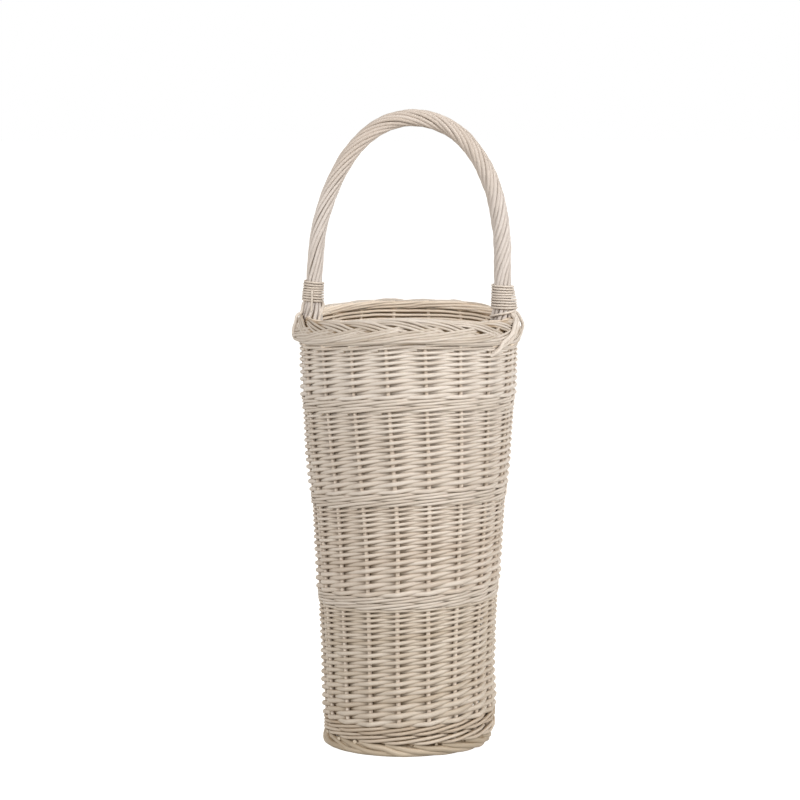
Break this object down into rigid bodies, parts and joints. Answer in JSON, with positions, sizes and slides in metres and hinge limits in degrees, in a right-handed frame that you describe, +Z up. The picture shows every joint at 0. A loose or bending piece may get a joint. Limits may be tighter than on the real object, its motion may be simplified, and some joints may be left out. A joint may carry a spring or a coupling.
{
  "type": "wicker umbrella stand",
  "caption": "Tall round willow basket that flares to a plaited rim, with a woven base and a roped bow handle, for holding umbrellas upright.",
  "frame": {"origin": "on the floor, under the middle of the stand", "axes": "+Z up; the handle bow stands in the XZ plane with one leg at each X side; -Y is the pictured front"},
  "size_m": [0.2671, 0.259, 0.7294],
  "materials": {
    "stakes": "matte",
    "weave": "matte",
    "wales": "matte",
    "borders": "matte",
    "base": "matte",
    "handle": "matte",
    "bindings": "matte"
  },
  "bodies": {
    "root": {"stake_01": "stakes", "stake_02": "stakes", "stake_03": "stakes", "stake_04": "stakes", "stake_05": "stakes", "stake_06": "stakes", "stake_07": "stakes", "stake_08": "stakes", "stake_09": "stakes", "stake_10": "stakes", "stake_11": "stakes", "stake_12": "stakes", "stake_13": "stakes", "stake_14": "stakes", "stake_15": "stakes", "stake_16": "stakes", "stake_17": "stakes", "stake_18": "stakes", "upsett_wale": "weave", "siding_bottom": "weave", "siding_lower": "weave", "siding_upper": "weave", "siding_top": "weave", "wale_lower": "wales", "wale_middle": "wales", "wale_upper": "wales", "wale_top": "wales", "foot_border": "borders", "border_strand_1": "borders", "border_strand_2": "borders", "border_strand_3": "borders", "base_stick_1": "base", "base_stick_2": "base", "base_stick_3": "base", "base_stick_4": "base", "base_stick_5": "base", "base_split_stick_1": "base", "base_split_stick_2": "base", "base_split_stick_3": "base", "base_split_stick_4": "base", "base_weave": "base", "handle_bow": "handle", "rope_rod_01": "handle", "rope_rod_02": "handle", "rope_rod_03": "handle", "rope_rod_04": "handle", "rope_rod_05": "handle", "rope_rod_06": "handle", "rope_rod_07": "handle", "rope_rod_08": "handle", "rope_rod_09": "handle", "rope_rod_10": "handle", "rope_rod_11": "handle", "binding_left": "bindings", "binding_right": "bindings", "tail_left_loop": "bindings", "tail_right_loop": "bindings", "tail_right_over_1": "bindings", "tail_right_over_2": "bindings", "tail_left_inner": "bindings"}
  },
  "joints": []
}
